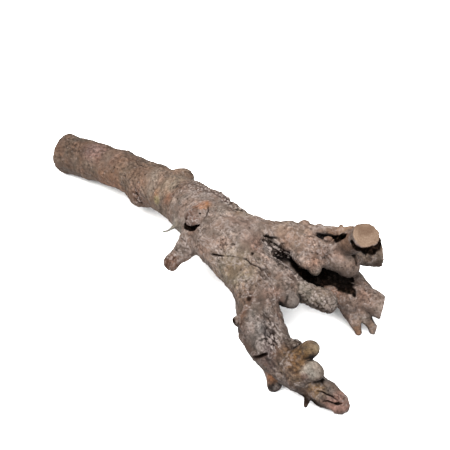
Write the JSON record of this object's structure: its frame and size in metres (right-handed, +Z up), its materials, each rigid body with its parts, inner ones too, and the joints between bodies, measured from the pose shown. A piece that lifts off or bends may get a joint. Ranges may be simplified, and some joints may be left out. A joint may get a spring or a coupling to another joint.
{
  "type": "dry root",
  "caption": "Dry shrub root with a sawn stem that swells into a knotted crown and forks into short roots, some sawn flat and some broken off.",
  "frame": {"origin": "on the ground, under the middle of the root's box as seen from above", "axes": "+X along the stem, from its sawn end to the crown of roots; +Z up, away from the ground that the root lies on"},
  "size_m": [0.3422, 0.1223, 0.0765],
  "materials": {
    "bark": "rough, dry, grey-brown bark with paler flakes"
  },
  "bodies": {
    "root": {"dry_root": "bark"}
  },
  "joints": []
}
